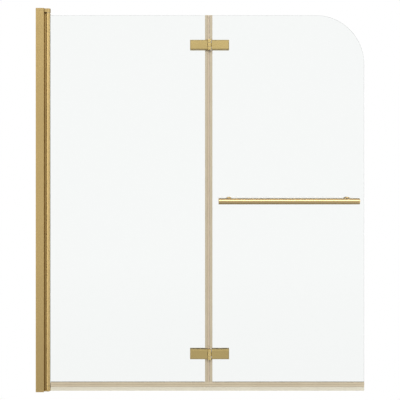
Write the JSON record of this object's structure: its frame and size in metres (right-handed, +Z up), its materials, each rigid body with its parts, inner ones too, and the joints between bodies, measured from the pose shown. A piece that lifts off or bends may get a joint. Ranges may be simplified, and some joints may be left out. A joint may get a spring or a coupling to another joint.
{
  "type": "shower screen",
  "caption": "Folding bath screen: clear glass panes hinged to each other and pivoted on a wall channel, with a towel bar, gold fittings and sealing strips.",
  "frame": {"origin": "the foot of the wall channel's back face, on the line of the glass", "axes": "+X out from the wall along the screen to the free edge, +Y away from the side with the towel bar, +Z up"},
  "size_m": [1.2, 0.0734, 1.4],
  "materials": {
    "gold_anodised": "satin gold anodised",
    "gold_plated": "brushed gold plating",
    "clear_glass": "clear toughened, polished edges",
    "tinted_seal": "translucent beige",
    "clear_seal": "translucent, soft",
    "nylon": "plain moulded",
    "dark_rubber": "matte",
    "stainless": "plain stainless"
  },
  "bodies": {
    "wall_channel": {"wall_channel": "gold_anodised", "channel_top_cap": "gold_anodised", "clamp_screws": "stainless", "clamp_plates": "stainless", "clamp_covers": "nylon"},
    "adjuster": {"adjuster_profile": "gold_anodised", "post_wiper_seal": "dark_rubber", "head_pivot_block": "gold_anodised", "foot_pivot_block": "gold_anodised", "pivot_bushes": "nylon", "block_screws": "stainless"},
    "inner_panel": {"pivot_post": "gold_anodised", "plug_grub_screws": "stainless", "head_end_plug": "gold_plated", "foot_end_plug": "gold_plated", "pivot_pins": "stainless", "post_gasket": "clear_seal", "inner_glass": "clear_glass", "inner_fold_seal": "tinted_seal", "inner_bottom_seal": "tinted_seal", "inner_drip_lip": "clear_seal", "lower_inner_leaf": "gold_plated", "upper_inner_leaf": "gold_plated", "hinge_pins": "gold_plated", "knuckle_washers": "nylon", "inner_back_plates": "gold_plated", "inner_hinge_pads": "clear_seal", "inner_hinge_sleeves": "nylon", "inner_hinge_screws": "stainless"},
    "outer_panel": {"outer_glass": "clear_glass", "outer_fold_seal": "tinted_seal", "outer_bottom_seal": "tinted_seal", "outer_drip_lip": "clear_seal", "lower_outer_leaf": "gold_plated", "upper_outer_leaf": "gold_plated", "outer_back_plates": "gold_plated", "outer_hinge_pads": "clear_seal", "outer_hinge_sleeves": "nylon", "outer_hinge_screws": "stainless", "towel_bar_tube": "gold_plated", "bar_end_caps": "gold_plated", "bar_inserts": "stainless", "bar_standoffs": "gold_plated", "bar_roses": "gold_plated", "rose_pads": "clear_seal", "standoff_screws": "stainless", "standoff_sleeves": "nylon", "back_flanges": "gold_plated", "back_cover_caps": "gold_plated"}
  },
  "joints": [
    {"name": "width_adjust", "type": "slide", "parent": "wall_channel", "child": "adjuster", "axis": [1, 0, 0], "range_m": [0, 0.012]},
    {"name": "wall_pivot", "type": "hinge", "parent": "adjuster", "child": "inner_panel", "pos_m": [0.0428, 0, 0], "axis": [0, 0, 1], "range_deg": [-85, 90]},
    {"name": "fold_hinge", "type": "hinge", "parent": "inner_panel", "child": "outer_panel", "pos_m": [0.6338, -0.0103, 0], "axis": [0, 0, -1], "range_deg": [0, 105]}
  ]
}
